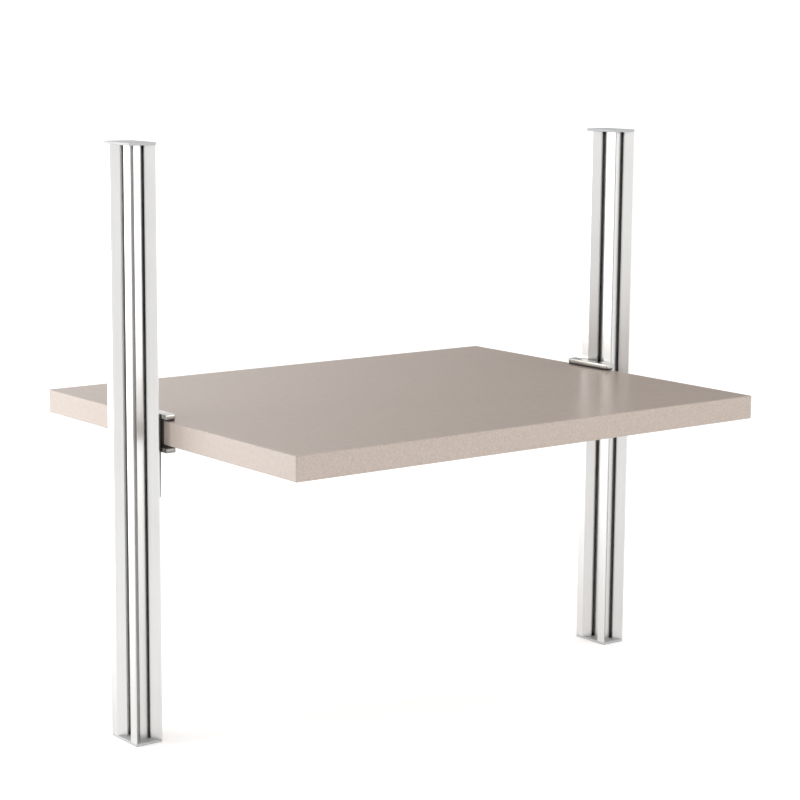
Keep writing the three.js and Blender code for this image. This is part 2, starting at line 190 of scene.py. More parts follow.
def add_sky_part(tree, place, toward, closeness, brightness):
    """A brightness that goes from one value to another as the sky's direction nears a given one."""
    angle = tree.nodes.new("ShaderNodeVectorMath")
    angle.operation = "DOT_PRODUCT"
    angle.inputs[1].default_value = Vector(toward).normalized()
    tree.links.new(place.outputs["Generated"], angle.inputs[0])
    return range_to(tree, angle.outputs["Value"], closeness, brightness, "SMOOTHSTEP")


def make_sky():
    """A sky whose brightness is the product of its parts, and which the camera sees plain."""
    world = bpy.data.worlds.new("studio_sky")
    world.use_nodes = True
    tree = world.node_tree
    background = tree.nodes["Background"]
    background.inputs["Color"].default_value = SKY_COLOR
    place = tree.nodes.new("ShaderNodeTexCoord")
    total, *parts = [add_sky_part(tree, place, *part) for part in SKY_PARTS]
    for part in parts:
        product = tree.nodes.new("ShaderNodeMath")
        product.operation = "MULTIPLY"
        tree.links.new(total, product.inputs[0])
        tree.links.new(part, product.inputs[1])
        total = product.outputs["Value"]
    rays = tree.nodes.new("ShaderNodeLightPath")
    strength = tree.nodes.new("ShaderNodeMix")
    strength.inputs["B"].default_value = SKY_STRENGTH
    tree.links.new(rays.outputs["Is Camera Ray"], strength.inputs["Factor"])
    tree.links.new(total, strength.inputs["A"])
    tree.links.new(strength.outputs["Result"], background.inputs["Strength"])
    bpy.context.scene.world = world
    return world


print("sky made:", make_sky().name, "with", len(SKY_PARTS), "parts")

# %% [markdown]
# ### Soft lights
#
# Two soft panels stand where the left upright mirrors them: one at the back left for its outer face, and
# one in front on the right for its front and the floor of its slot. The right upright mirrors what lies
# beside them, so its slot stays greyer, as in the picture. One big lamp would be simpler, but it would
# shine in all the slots alike. A small light at the left, a little above the board, draws the upright's
# shadow on the board's end. The camera itself sees none of the three.

# %% Soft lights
BOARD_MIDDLE = (0.0, 0.0, 0.32)
LEFT_CLAMP = (-0.3, 0.0, 0.32)


def add_soft_light(name, place, target, size, power):
    light = bpy.data.lights.new(name, "AREA")
    light.shape = "RECTANGLE"
    light.size, light.size_y = size
    light.energy = power
    holder = bpy.data.objects.new(name, light)
    bpy.context.scene.collection.objects.link(holder)
    holder.location = place
    holder.rotation_euler = (Vector(target) - Vector(place)).to_track_quat("-Z", "Y").to_euler()
    holder.visible_camera = False
    return holder


SOFT_LIGHTS = (
    add_soft_light("low_left_light", (-1.6, 0.38, 0.5), LEFT_CLAMP, size=(0.06, 0.06), power=5.5),
    add_soft_light("back_left_panel", (-1.15, 1.05, 0.42), LEFT_CLAMP, size=(0.9, 0.84), power=6.8),
    add_soft_light("front_right_panel", (0.7, -1.7, 0.42), BOARD_MIDDLE, size=(0.95, 0.84), power=3.6),
)
bpy.context.scene.view_settings.view_transform = "Standard"
print("lights:", [holder.name for holder in SOFT_LIGHTS])

# %% [markdown]
# ## Shared effects
#
# Several finishes need the same two effects. Extruded and brushed metal has fine streaks that run one
# way, and every real surface has a soft mottle. Each is a node group, built once and placed in the
# materials with their own scales. They could be copied into each material instead, but then a change
# would have to be made many times. Both work on Object coordinates, so they are in metres and stay with
# the piece.

# %% Streak and mottle groups
NOISE_ROUGHNESS = 0.6
STREAK_DETAIL = 3.0
CLOUD_DETAIL, SPECKLE_DETAIL = 4.0, 2.0


def new_group(name, inputs, outputs):
    """A shader node group. All its sockets are numbers, apart from an input named Vector."""
    group = bpy.data.node_groups.new(name, "ShaderNodeTree")
    for label, default in inputs:
        kind = "NodeSocketVector" if label == "Vector" else "NodeSocketFloat"
        socket = group.interface.new_socket(name=label, in_out="INPUT", socket_type=kind)
        if kind == "NodeSocketFloat":
            socket.default_value = default
    for label in outputs:
        group.interface.new_socket(name=label, in_out="OUTPUT", socket_type="NodeSocketFloat")
    return group, group.nodes.new("NodeGroupInput"), group.nodes.new("NodeGroupOutput")


def make_streaks_group():
    """Streaks that run along one axis: a noise whose coordinates are scaled differently on each axis."""
    inputs = [("Vector", None), ("Per X", 1.0), ("Per Y", 1.0), ("Per Z", 1.0)]
    group, start, end = new_group("fine_streaks", inputs, ["Value"])
    scales = group.nodes.new("ShaderNodeCombineXYZ")
    stretch = group.nodes.new("ShaderNodeVectorMath")
    stretch.operation = "MULTIPLY"
    noise = group.nodes.new("ShaderNodeTexNoise")
    noise.inputs["Scale"].default_value = 1.0
    noise.inputs["Detail"].default_value = STREAK_DETAIL
    noise.inputs["Roughness"].default_value = NOISE_ROUGHNESS
    for axis in "XYZ":
        group.links.new(start.outputs[f"Per {axis}"], scales.inputs[axis])
    group.links.new(start.outputs["Vector"], stretch.inputs[0])
    group.links.new(scales.outputs["Vector"], stretch.inputs[1])
    group.links.new(stretch.outputs["Vector"], noise.inputs["Vector"])
    group.links.new(noise.outputs["Fac"], end.inputs["Value"])
    return group


def make_mottle_group():
    """A soft cloud and a fine speckle, each with its own scale."""
    inputs = [("Vector", None), ("Cloud", 60.0), ("Speckle", 600.0)]
    group, start, end = new_group("mottle", inputs, ["Cloud", "Speckle"])
    for label, detail in (("Cloud", CLOUD_DETAIL), ("Speckle", SPECKLE_DETAIL)):
        noise = group.nodes.new("ShaderNodeTexNoise")
        noise.inputs["Detail"].default_value = detail
        noise.inputs["Roughness"].default_value = NOISE_ROUGHNESS
        group.links.new(start.outputs["Vector"], noise.inputs["Vector"])
        group.links.new(start.outputs[label], noise.inputs["Scale"])
        group.links.new(noise.outputs["Fac"], end.inputs[label])
    return group


STREAKS = make_streaks_group()
MOTTLE = make_mottle_group()
print("groups:", STREAKS.name, MOTTLE.name)

# %% Helpers for materials
NOISE_RANGE = (0.3, 0.7)


def new_material(name, color, roughness, metallic=0.0, specular=0.5):
    material = bpy.data.materials.new(name)
    material.use_nodes = True
    shader = material.node_tree.nodes["Principled BSDF"]
    shader.inputs["Base Color"].default_value = (*color, 1.0)
    shader.inputs["Roughness"].default_value = roughness
    shader.inputs["Metallic"].default_value = metallic
    shader.inputs["Specular IOR Level"].default_value = specular
    material.diffuse_color = (*color, 1.0)
    return material, material.node_tree, shader


def place_group(tree, group, values, coordinates):
    node = tree.nodes.new("ShaderNodeGroup")
    node.node_tree = group
    for label, value in values.items():
        node.inputs[label].default_value = value
    tree.links.new(coordinates.outputs["Object"], node.inputs["Vector"])
    return node


def ramp_between(tree, value, value_range, low_color, high_color):
    """Blends from one colour to another while the value runs over a range."""
    ramp = tree.nodes.new("ShaderNodeValToRGB")
    for stop, position, color in zip(ramp.color_ramp.elements, value_range, (low_color, high_color)):
        stop.position = position
        stop.color = (*color, 1.0)
    tree.links.new(value, ramp.inputs["Fac"])
    return ramp.outputs["Color"]


def multiply_colors(tree, first, second):
    mix = tree.nodes.new("ShaderNodeMix")
    mix.data_type = "RGBA"
    mix.blend_type = "MULTIPLY"
    mix.inputs["Factor"].default_value = 1.0
    tree.links.new(first, mix.inputs["A"])
    tree.links.new(second, mix.inputs["B"])
    return mix.outputs["Result"]


def add_bump(tree, shader, height, distance, strength=1.0):
    bump = tree.nodes.new("ShaderNodeBump")
    bump.inputs["Distance"].default_value = distance
    bump.inputs["Strength"].default_value = strength
    tree.links.new(height, bump.inputs["Height"])
    tree.links.new(bump.outputs["Normal"], shader.inputs["Normal"])


def dress(names, material):
    for name in names:
        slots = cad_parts[name].data.materials
        slots.clear()
        slots.append(material)
    print(material.name, "on", len(names), "pieces")


# %% [markdown]
# ## Anodised aluminium
#
# The uprights are extruded, so faint die lines run up them, and the anodising leaves a satin, slightly
# milky surface. A mirror metal would show the studio too sharply. A metal of medium roughness, whose
# tone, roughness and height follow vertical streaks, gives the soft bands of the picture. Little light
# comes back out of a slot's undercuts. The light's own bounces show that only in part, so painted shade
# also darkens the base colour where the metal is closely enclosed.

# %% Anodised aluminium
ALUMINIUM, DARK_ALUMINIUM, LIGHT_ALUMINIUM = (0.71, 0.706, 0.698), (0.7, 0.696, 0.688), (0.735, 0.731, 0.723)
ANODISED_ROUGHNESS, ANODISED_ROUGHNESS_RANGE = 0.32, (0.28, 0.4)
ANODISED_CLOUDS = {"Cloud": 14.0, "Speckle": 900.0}
DIE_LINES = {"Per X": 900.0, "Per Y": 900.0, "Per Z": 3.0}
DIE_LINE_TONE, DIE_LINE_DEPTH, DIE_LINE_STRENGTH = 0.94, 0.01 * MM, 0.6
ENCLOSED_SAMPLES, ENCLOSED_REACH, ENCLOSED_RANGE = 6, 9 * MM, (0.1, 0.4)
# Tone of the painted shade in the slots' undercuts.
UNDERCUT_SHADE_TONE = 0.06


def make_anodised():
    material, tree, shader = new_material("anodised_aluminium", ALUMINIUM, ANODISED_ROUGHNESS, metallic=1.0)
    place = tree.nodes.new("ShaderNodeTexCoord")
    lines = place_group(tree, STREAKS, DIE_LINES, place).outputs["Value"]
    clouds = place_group(tree, MOTTLE, ANODISED_CLOUDS, place).outputs["Cloud"]
    tone = ramp_between(tree, clouds, NOISE_RANGE, DARK_ALUMINIUM, LIGHT_ALUMINIUM)
    drawn = ramp_between(tree, lines, NOISE_RANGE, grey(DIE_LINE_TONE), grey(1.0))
    # Painted shade: the base colour is darkened where the metal is closely enclosed.
    enclosed = tree.nodes.new("ShaderNodeAmbientOcclusion")
    enclosed.samples = ENCLOSED_SAMPLES
    enclosed.inputs["Distance"].default_value = ENCLOSED_REACH
    painted_shade = ramp_between(tree, enclosed.outputs["AO"], ENCLOSED_RANGE, grey(UNDERCUT_SHADE_TONE), grey(1.0))
    lined = multiply_colors(tree, tone, drawn)
    tree.links.new(multiply_colors(tree, lined, painted_shade), shader.inputs["Base Color"])
    rough = range_to(tree, lines, NOISE_RANGE, ANODISED_ROUGHNESS_RANGE)
    tree.links.new(rough, shader.inputs["Roughness"])
    add_bump(tree, shader, lines, DIE_LINE_DEPTH, DIE_LINE_STRENGTH)
    return material


dress(["left_upright", "right_upright"], make_anodised())

# %% [markdown]
# ## The laminated board
#
# Sheets and edge bands share one printed decor: a taupe with a soft, even mottle a few millimetres
# across. Seen at a flat angle it draws out into faint lines, which need no stripes in the pattern. The
# sheet has a low sheen, in which the upright behind it shows as a soft smear. The bands are a little
# lighter and rougher, and the two long ones are more strongly mottled than the two at the ends. A thin
# darker line runs down each corner, where the end band is trimmed: partly the trimmed edge's own tone and
# partly painted shade of the small rounded corner. It could be a small bevel, but it's finer than any
# bevel that this picture would show, so it's drawn in the end bands' material.

# %% Laminate and edge bands
CORNER_LINE_MM = (0.9, 0.2)
# Tone of the corner line: the trimmed edge with painted shade of its small rounded corner.
CORNER_SHADE_TONE = (0.4, 0.31, 0.25)


def make_decor(name, color, roughness, specular, spread, cloud, speckle):
    """A printed decor: the colour between two tones by a soft mottle, under a fine grain."""
    material, tree, shader = new_material(name, color, roughness, specular=specular)
    place = tree.nodes.new("ShaderNodeTexCoord")
    print_marks = place_group(tree, MOTTLE, {"Cloud": cloud, "Speckle": speckle}, place)
    darker = tuple((1.0 - spread) * part for part in color)
    lighter = tuple((1.0 + spread) * part for part in color)
    base = ramp_between(tree, print_marks.outputs["Cloud"], NOISE_RANGE, darker, lighter)
    grain = ramp_between(tree, print_marks.outputs["Speckle"], NOISE_RANGE, grey(1.0 - spread), grey(1.0))
    tree.links.new(multiply_colors(tree, base, grain), shader.inputs["Base Color"])
    return material


def add_corner_shade_line(material):
    """A thin line of another tone, partly painted shade, down the board's corners, where |x| + |y| nears its
    most.
    """
    tree = material.node_tree
    shader = tree.nodes["Principled BSDF"]
    place = tree.nodes.new("ShaderNodeTexCoord")
    unsigned = tree.nodes.new("ShaderNodeVectorMath")
    unsigned.operation = "ABSOLUTE"
    reach = tree.nodes.new("ShaderNodeVectorMath")
    reach.operation = "DOT_PRODUCT"
    reach.inputs[1].default_value = (1.0, 1.0, 0.0)
    tree.links.new(place.outputs["Object"], unsigned.inputs[0])
    tree.links.new(unsigned.outputs["Vector"], reach.inputs[0])
    line_range = [(board_high[0] + board_high[1] - before) * MM for before in CORNER_LINE_MM]
    mix = tree.nodes.new("ShaderNodeMix")
    mix.data_type = "RGBA"
    tree.links.new(range_to(tree, reach.outputs["Value"], line_range, (0.0, 1.0)), mix.inputs["Factor"])
    tree.links.new(shader.inputs["Base Color"].links[0].from_socket, mix.inputs["A"])
    mix.inputs["B"].default_value = (*CORNER_SHADE_TONE, 1.0)
    tree.links.new(mix.outputs["Result"], shader.inputs["Base Color"])


laminate = make_decor(
    "taupe_laminate", (0.43, 0.347, 0.293), roughness=0.3, specular=0.12,
    spread=0.05, cloud=130.0, speckle=700.0,
)
long_band = make_decor(
    "taupe_long_band", (0.512, 0.427, 0.372), roughness=0.45, specular=0.55,
    spread=0.14, cloud=620.0, speckle=900.0,
)
end_band = make_decor(
    "taupe_end_band", (0.482, 0.408, 0.362), roughness=0.45, specular=0.55,
    spread=0.07, cloud=260.0, speckle=600.0,
)
add_corner_shade_line(end_band)
dress(["top_laminate", "bottom_laminate"], laminate)
dress(["front_edge_band", "back_edge_band"], long_band)
dress(["left_edge_band", "right_edge_band"], end_band)

# %% [markdown]
# ### The core
#
# Inside the board is pressed particle board: pale and dark chips, with a rough, open face. Nothing of it
# shows while the bands are on. It could be left plain, but a reader who takes the board apart should find
# wood.

# %% Particle board
PRESSED_WOOD, DARK_CHIP, PALE_CHIP = (0.5, 0.34, 0.2), (0.4, 0.26, 0.14), (0.62, 0.44, 0.27)
WOOD_ROUGHNESS, WOOD_SHEEN = 0.9, 0.2
CHIP_SCALES = {"Cloud": 180.0, "Speckle": 500.0}
CHIP_RANGE = (0.35, 0.65)
CHIP_HEIGHT = 0.3 * MM


def make_particle_board():
    material, tree, shader = new_material(
        "particle_board", PRESSED_WOOD, WOOD_ROUGHNESS, specular=WOOD_SHEEN
    )
    place = tree.nodes.new("ShaderNodeTexCoord")
    chips = place_group(tree, MOTTLE, CHIP_SCALES, place)
    base = ramp_between(tree, chips.outputs["Cloud"], CHIP_RANGE, DARK_CHIP, PALE_CHIP)
    tree.links.new(base, shader.inputs["Base Color"])
    add_bump(tree, shader, chips.outputs["Speckle"], CHIP_HEIGHT)
    return material


dress(["shelf_core"], make_particle_board())

# %% [markdown]
# ## Small metal, rubber and plastic
#
# The jaws are satin nickel, polished enough to show the upright beside them. The lower one has the same
# nickel painted darker, as painted shade under the board. The plate behind them is powder coated black,
# the fasteners are zinc plated, the liners are matt rubber and the end caps are grey moulded plastic. Each
# could have a material built by hand, but they fall into two kinds: metal brushed one way, and a fine
# pebbled skin. So two functions make them all.

# %% Brushed metal
BRUSH_LINES = {"Per X": 1500.0, "Per Y": 60.0, "Per Z": 1500.0}
BRUSH_DEPTH, BRUSH_STRENGTH = 0.008 * MM, 0.5
BRUSHED_CLOUDS = {"Cloud": 70.0, "Speckle": 1200.0}
DULL_SHARE = 0.93


def make_satin_metal(name, color, smooth, rough):
    material, tree, shader = new_material(name, color, smooth, metallic=1.0)
    place = tree.nodes.new("ShaderNodeTexCoord")
    lines = place_group(tree, STREAKS, BRUSH_LINES, place).outputs["Value"]
    clouds = place_group(tree, MOTTLE, BRUSHED_CLOUDS, place).outputs["Cloud"]
    dull = tuple(DULL_SHARE * part for part in color)
    tree.links.new(ramp_between(tree, clouds, NOISE_RANGE, dull, color), shader.inputs["Base Color"])
    tree.links.new(range_to(tree, lines, NOISE_RANGE, (smooth, rough)), shader.inputs["Roughness"])
    add_bump(tree, shader, lines, BRUSH_DEPTH, BRUSH_STRENGTH)
    return material


satin_nickel = make_satin_metal("satin_nickel", (0.53, 0.52, 0.49), smooth=0.16, rough=0.28)
# The lower jaw's nickel, painted darker as painted shade under the board.
shaded_nickel = make_satin_metal("shaded_nickel", (0.27, 0.26, 0.245), smooth=0.2, rough=0.32)
zinc = make_satin_metal("zinc_plate", (0.66, 0.675, 0.69), smooth=0.24, rough=0.38)
print("metals:", satin_nickel.name, shaded_nickel.name, zinc.name)

# %% Powder coat, rubber and plastic
PEBBLE_CLOUD = 90.0
SMOOTHER, ROUGHER = 0.06, 0.08


def make_pebbled(name, color, lighter, roughness, grain, height):
    """A fine pebbled skin with a slight change of tone."""
    material, tree, shader = new_material(name, color, roughness)
    place = tree.nodes.new("ShaderNodeTexCoord")
    skin = place_group(tree, MOTTLE, {"Cloud": PEBBLE_CLOUD, "Speckle": grain}, place)
    tone = ramp_between(tree, skin.outputs["Cloud"], NOISE_RANGE, color, lighter)
    tree.links.new(tone, shader.inputs["Base Color"])
    rough_range = (roughness - SMOOTHER, roughness + ROUGHER)
    rough = range_to(tree, skin.outputs["Speckle"], NOISE_RANGE, rough_range)
    tree.links.new(rough, shader.inputs["Roughness"])
    add_bump(tree, shader, skin.outputs["Speckle"], height)
    return material


black_steel = make_pebbled(
    "black_powder_coat", (0.02, 0.018, 0.017), (0.035, 0.032, 0.03),
    roughness=0.5, grain=1400.0, height=0.03 * MM,
)
black_rubber = make_pebbled(
    "black_rubber", (0.018, 0.016, 0.015), (0.032, 0.029, 0.027),
    roughness=0.72, grain=1100.0, height=0.05 * MM,
)
cap_plastic = make_pebbled(
    "grey_moulded_plastic", (0.46, 0.47, 0.475), (0.52, 0.53, 0.535),
    roughness=0.5, grain=1600.0, height=0.02 * MM,
)
SMALL_PARTS = (
    (satin_nickel, ["upper_jaw"]),
    (shaded_nickel, ["lower_jaw"]),
    (black_rubber, ["upper_liner", "lower_pad"]),
    (black_steel, ["back_plate"]),
    (cap_plastic, ["top_cap", "bottom_cap"]),
    (zinc, ["upper_screw_1", "upper_screw_2", "upper_slot_nut"]),
    (zinc, ["jaw_screw", "jaw_washer", "lower_slot_nut"]),
)
for material, parts in SMALL_PARTS:
    dress([f"{end}_{part}" for end in ("left", "right") for part in parts], material)

# %% [markdown]
# ## The clamp pieces
#
# The CAD pieces carry sharp or coarsely rounded edges, and a camera sees small metal by the light on its
# edges. So the jaws, rubbers, plate, washer and jaw screw are modelled again at the CAD sizes, with finer
# corners. Each could be a drawn outline made solid. Here each grows from a block: cut lines, the leg
# pulled out of a face, then rounded corners, softened edges and drilled holes, as the real piece is bent,
# trimmed and drilled. Lengths are in millimetres from the clamp's own zero at the right end: the board's
# end face, the middle of the upright's slot and the board's top face. Outer sizes are read from the CAD
# pieces' boxes.

# %% The clamp's zero, blocks and selections
X, Y, Z = 0, 1, 2
CLAMP_ZERO = Vector((board_high[X], (upright_low[Y] + upright_high[Y]) / 2, board_high[Z]))
CLOSE_MM = 0.01


def clamp_box(part):
    """The lowest and the highest place of one of the right clamp's CAD pieces, from the clamp's zero."""
    low, high = box_of(f"right_{part}")
    low = [round(place - zero, 3) for place, zero in zip(low, CLAMP_ZERO)]
    high = [round(place - zero, 3) for place, zero in zip(high, CLAMP_ZERO)]
    return low, high


def near(value, target):
    return abs(value - target) < CLOSE_MM


def select_only(piece):
    bpy.ops.object.select_all(action="DESELECT")
    piece.select_set(True)
    bpy.context.view_layer.objects.active = piece


def make_block(name, low, high):
    bpy.ops.object.select_all(action="DESELECT")
    bpy.ops.mesh.primitive_cube_add(size=1.0)
    piece = bpy.context.active_object
    piece.name = piece.data.name = name
    piece.scale = (Vector(high) - Vector(low)) * MM
    piece.location = (CLAMP_ZERO + (Vector(low) + Vector(high)) / 2) * MM
    bpy.ops.object.transform_apply(location=True, rotation=True, scale=True)
    return piece


def pick(piece, kind, test, along=None):
    """In edit mode, selects the faces or edges whose corners all pass a test and that run along an axis."""
    select_only(piece)
    bpy.ops.object.mode_set(mode="EDIT")
    bpy.ops.mesh.select_mode(type=kind)
    bpy.ops.mesh.select_all(action="DESELECT")
    mesh = bmesh.from_edit_mesh(piece.data)
    chosen = 0
    for part in mesh.faces if kind == "FACE" else mesh.edges:
        places = [corner.co / MM - CLAMP_ZERO for corner in part.verts]
        across = [abs(a - b) for i, (a, b) in enumerate(zip(places[0], places[1])) if i != along]
        if all(test(*place) for place in places) and (along is None or max(across) < CLOSE_MM):
            part.select_set(True)
            chosen += 1
    bmesh.update_edit_mesh(piece.data)
    return chosen


print("clamp's zero in mm:", list(CLAMP_ZERO))

# %% Cut lines, legs and rounded corners
CORNER_SEGMENTS = 7


def add_cut_line(piece, axis, place):
    """A line all round the piece where a plane across the axis meets it."""
    select_only(piece)
    bpy.ops.object.mode_set(mode="EDIT")
    bpy.ops.mesh.select_all(action="SELECT")
    point = CLAMP_ZERO.copy()
    point[axis] += place
    normal = Vector((0.0, 0.0, 0.0))
    normal[axis] = 1.0
    bpy.ops.mesh.bisect(plane_co=point * MM, plane_no=normal)
    bpy.ops.object.mode_set(mode="OBJECT")


def pull_leg(piece, inner_x, half_width, from_z, to_z):
    """Pulls a leg down out of the strip of the under side beyond inner_x."""
    add_cut_line(piece, X, inner_x)
    add_cut_line(piece, Y, -half_width)
    add_cut_line(piece, Y, half_width)

    def in_strip(x, y, z):
        return near(z, from_z) and x > inner_x - CLOSE_MM and abs(y) < half_width + CLOSE_MM

    count = pick(piece, "FACE", in_strip)
    bpy.ops.mesh.extrude_region_move(TRANSFORM_OT_translate={"value": (0.0, 0.0, (to_z - from_z) * MM)})
    bpy.ops.object.mode_set(mode="OBJECT")
    return count


def round_corners(piece, test, along, radius, segments=CORNER_SEGMENTS):
    count = pick(piece, "EDGE", test, along)
    bpy.ops.mesh.bevel(offset=radius * MM, segments=segments, affect="EDGES")
    bpy.ops.object.mode_set(mode="OBJECT")
    return count


# %% Flat faces, soft edges and openings
SMOOTH_ANGLE = math.radians(35)
FLAT_ANGLE = math.radians(0.5)
EDGE_SEGMENTS = 3


def join_flat_faces(piece):
    select_only(piece)
    bpy.ops.object.mode_set(mode="EDIT")
    bpy.ops.mesh.select_all(action="SELECT")
    bpy.ops.mesh.dissolve_limited(angle_limit=FLAT_ANGLE)
    bpy.ops.mesh.normals_make_consistent(inside=False)
    bpy.ops.object.mode_set(mode="OBJECT")


def soften_edges(piece, width):
    select_only(piece)
    softener = piece.modifiers.new("soft_edges", "BEVEL")
    softener.width = width * MM
    softener.segments = EDGE_SEGMENTS
    softener.limit_method = "ANGLE"
    softener.angle_limit = SMOOTH_ANGLE
    bpy.ops.object.modifier_apply(modifier=softener.name)


def cut_out(piece, *cutters):
    for cutter in cutters:
        select_only(piece)
        opening = piece.modifiers.new("opening", "BOOLEAN")
        opening.operation = "DIFFERENCE"
        opening.object = cutter
        bpy.ops.object.modifier_apply(modifier=opening.name)
        bpy.data.objects.remove(cutter)


def finish_piece(piece, material):
    select_only(piece)
    bpy.ops.object.shade_smooth_by_angle(angle=SMOOTH_ANGLE)
    piece.data.materials.clear()
    piece.data.materials.append(material)
    print(piece.name, "has", len(piece.data.polygons), "faces")
    return piece


# %% Turned pieces
FACING_X = (0.0, math.pi / 2, 0.0)


def turn_piece(name, sides, height, profile):
    """A piece turned along X: a disc pulled out and resized along the (x, radius) steps of a profile."""
    bpy.ops.object.select_all(action="DESELECT")
    first_x, first_radius = profile[0]
    centre = (CLAMP_ZERO + Vector((first_x, 0.0, height))) * MM
    bpy.ops.mesh.primitive_circle_add(
        vertices=sides, radius=first_radius * MM, fill_type="NGON", rotation=FACING_X, location=centre
    )
    piece = bpy.context.active_object
    piece.name = piece.data.name = name
    bpy.ops.object.transform_apply(location=True, rotation=True, scale=True)
    bpy.ops.object.mode_set(mode="EDIT")
    bpy.ops.mesh.select_all(action="SELECT")
    for (x, radius), (next_x, next_radius) in zip(profile, profile[1:]):
        bpy.ops.mesh.extrude_region_move(TRANSFORM_OT_translate={"value": ((next_x - x) * MM, 0.0, 0.0)})
        size = next_radius / radius
        bpy.ops.transform.resize(value=(1.0, size, size), center_override=centre)
    bpy.ops.mesh.select_all(action="SELECT")
    bpy.ops.mesh.normals_make_consistent(inside=False)
    bpy.ops.object.mode_set(mode="OBJECT")
    return piece


# %% [markdown]
# ### Jaws
#
# Both jaws are L-shaped: a thick bar across the board's end with a thin leg behind, which starts where
# the upper rubber ends. The free edge has corners of 2 mm and the leg ends in corners of 3 mm. The upper
# leg and the plate share two countersunk holes, and the lower leg has a long hole, so that the jaw can
# travel on its screw. The holes could be bevelled openings in the mesh, but a cutter of the tool's own
# shape is plainer.

# %% Jaw sizes
plate_low, plate_high = clamp_box("back_plate")
liner_low, liner_high = clamp_box("upper_liner")
upper_jaw_low, upper_jaw_high = clamp_box("upper_jaw")
lower_jaw_low, lower_jaw_high = clamp_box("lower_jaw")
JAW_FREE_EDGE, JAW_HALF_WIDTH = upper_jaw_low[X], upper_jaw_high[Y]
JAW_THICKNESS = upper_jaw_high[Z] - liner_high[Z]
LEG_FRONT = liner_high[X]
UPPER_LEG_HALF, LOWER_LEG_HALF = 22.0, 19.0
JAW_CORNER, LEG_CORNER, JAW_EDGE = 2.0, 3.0, 0.45
print("jaws are", round(JAW_THICKNESS, 3), "mm thick and", 2 * JAW_HALF_WIDTH, "mm wide")

# %% Jaws
LOWER_JAW_BOTTOM = lower_jaw_high[Z] - JAW_THICKNESS
JAW_TRAVEL = 12.0
SLOT_RADIUS = 3.3
SLOT_END_SEGMENTS = 12
HOLE_SIDES = 40
HOLE_RADIUS, SINK_RADIUS, SINK_START = 2.8, 4.9, 2.3
OVERCUT = 1.0


def middle_height(part):
    low, high = clamp_box(part)
    return (low[Z] + high[Z]) / 2


def make_jaw(name, low, high, bottom, leg_half):
    """A bar from its bottom to the box's top, with a leg down to the box's lowest place."""
    jaw = make_block(name, (JAW_FREE_EDGE, -JAW_HALF_WIDTH, bottom), (high[X], JAW_HALF_WIDTH, high[Z]))
    pulled = pull_leg(jaw, LEG_FRONT, leg_half, bottom, low[Z])
    join_flat_faces(jaw)

    def at_free_end(x, y, z):
        return near(x, JAW_FREE_EDGE) and near(abs(y), JAW_HALF_WIDTH)

    def at_leg_end(x, y, z):
        return near(z, low[Z]) and near(abs(y), leg_half)

    corners = round_corners(jaw, at_free_end, Z, JAW_CORNER)
    corners += round_corners(jaw, at_leg_end, X, LEG_CORNER)
    soften_edges(jaw, JAW_EDGE)
    print(name, "pulled faces", pulled, "rounded corners", corners)
    return jaw


def make_countersinks():
    """Cutters for the two upper screws: wide for the head, a cone of 90 degrees, and the hole behind it."""
    profile = (
        (LEG_FRONT - OVERCUT, SINK_RADIUS),
        (SINK_START, SINK_RADIUS),
        (SINK_START + SINK_RADIUS - HOLE_RADIUS, HOLE_RADIUS),
        (plate_high[X] + OVERCUT, HOLE_RADIUS),
    )
    heights = (middle_height("upper_screw_1"), middle_height("upper_screw_2"))
    return [turn_piece("countersink", HOLE_SIDES, height, profile) for height in heights]


jaw_screw_height = middle_height("jaw_screw")
jaw_top = make_jaw("right_jaw_top", upper_jaw_low, upper_jaw_high, liner_high[Z], UPPER_LEG_HALF)
cut_out(jaw_top, *make_countersinks())
finish_piece(jaw_top, satin_nickel)

jaw_bottom = make_jaw("right_jaw_bottom", lower_jaw_low, lower_jaw_high, LOWER_JAW_BOTTOM, LOWER_LEG_HALF)
long_hole = make_block(
    "long_hole",
    (LEG_FRONT - OVERCUT, -SLOT_RADIUS, jaw_screw_height - SLOT_RADIUS),
    (lower_jaw_high[X] + OVERCUT, SLOT_RADIUS, jaw_screw_height + JAW_TRAVEL + SLOT_RADIUS),
)
round_corners(long_hole, lambda x, y, z: True, X, SLOT_RADIUS - CLOSE_MM, SLOT_END_SEGMENTS)
cut_out(jaw_bottom, long_hole)
finish_piece(jaw_bottom, shaded_nickel)

# %% [markdown]
# ### Rubbers and plate
#
# The upper rubber is an L that also covers the board's end, the lower one a flat strip. Both stay 0.4 mm
# inside the jaws' outline. The plate behind them narrows towards its tail. The plate could be a flat
# outline made solid, but squeezing its lowest face is quicker and keeps its sides straight.

# %% Rubbers
pad_low, pad_high = clamp_box("lower_pad")
RUBBER_FREE_EDGE, RUBBER_HALF_WIDTH = liner_low[X], liner_high[Y]
BOARD_GAP = 0.3
RUBBER_EDGE = 0.25


def make_rubber(name, bottom, top):
    low = (RUBBER_FREE_EDGE, -RUBBER_HALF_WIDTH, bottom)
    return make_block(name, low, (LEG_FRONT, RUBBER_HALF_WIDTH, top))


def finish_rubber(rubber):
    def at_free_end(x, y, z):
        return near(x, RUBBER_FREE_EDGE) and near(abs(y), RUBBER_HALF_WIDTH)

    join_flat_faces(rubber)
    round_corners(rubber, at_free_end, Z, JAW_CORNER)
    soften_edges(rubber, RUBBER_EDGE)
    return finish_piece(rubber, black_rubber)


rubber_top = make_rubber("right_rubber_top", BOARD_GAP, liner_high[Z])
pull_leg(rubber_top, BOARD_GAP, plate_high[Y], BOARD_GAP, liner_low[Z])
finish_rubber(rubber_top)
rubber_bottom = finish_rubber(make_rubber("right_rubber_bottom", pad_low[Z], pad_high[Z]))

# %% Plate
PLATE_HALF_TAIL = 22.45
PLATE_TAIL_CORNER, PLATE_TOP_CORNER = 3.0, 1.5
PLATE_EDGE = 0.2


